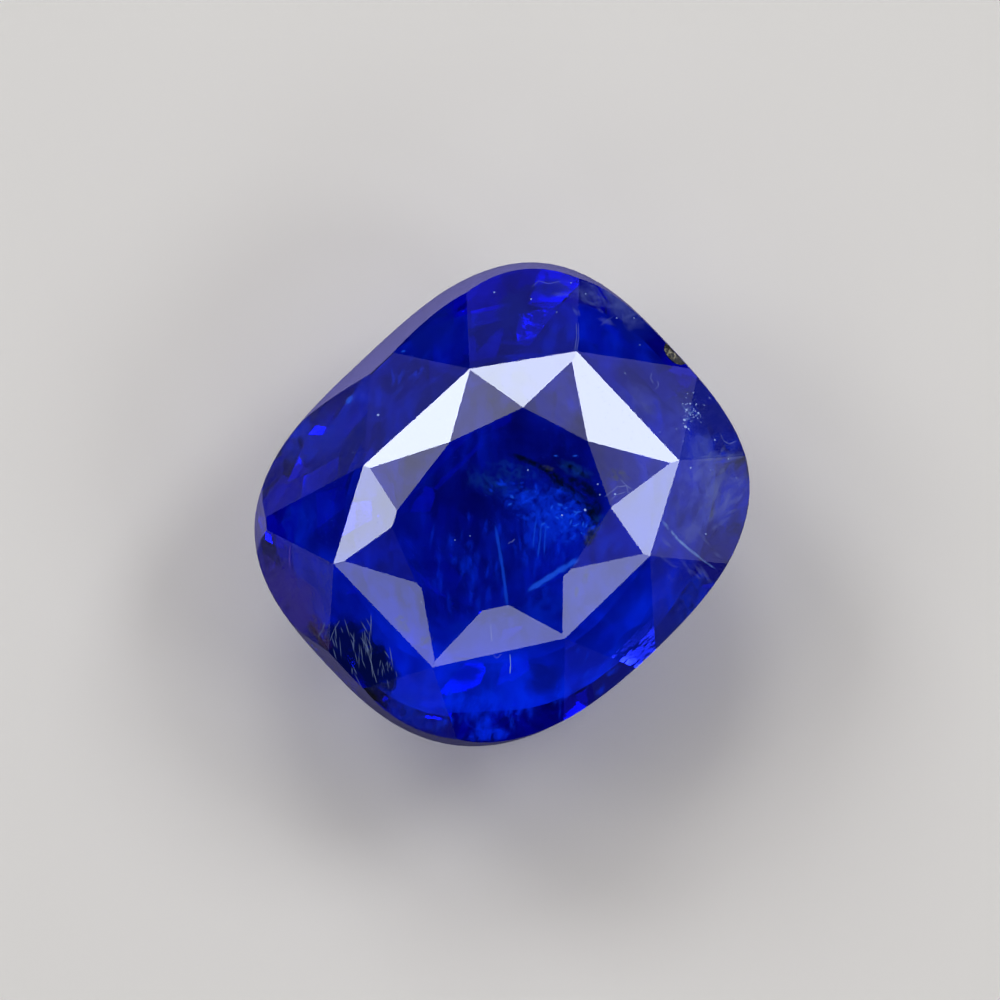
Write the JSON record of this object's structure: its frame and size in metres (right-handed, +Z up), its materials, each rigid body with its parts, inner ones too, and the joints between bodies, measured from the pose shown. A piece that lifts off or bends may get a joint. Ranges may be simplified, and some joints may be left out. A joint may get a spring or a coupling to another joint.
{
  "type": "blue sapphire",
  "caption": "Loose faceted blue sapphire, a hand-cut cushion with a flat table above and a flat culet to rest on; for setting, display or study.",
  "frame": {"origin": "middle of the stone's box, on the surface that its culet rests on", "axes": "+X along the stone's longest side, +Y along its shorter side in plan, +Z up, square out of the table"},
  "size_m": [0.009, 0.0078, 0.0053],
  "materials": {
    "sapphire": "polished deep blue crystal, with a fine-ground girdle"
  },
  "bodies": {
    "root": {"sapphire": "sapphire"}
  },
  "joints": []
}
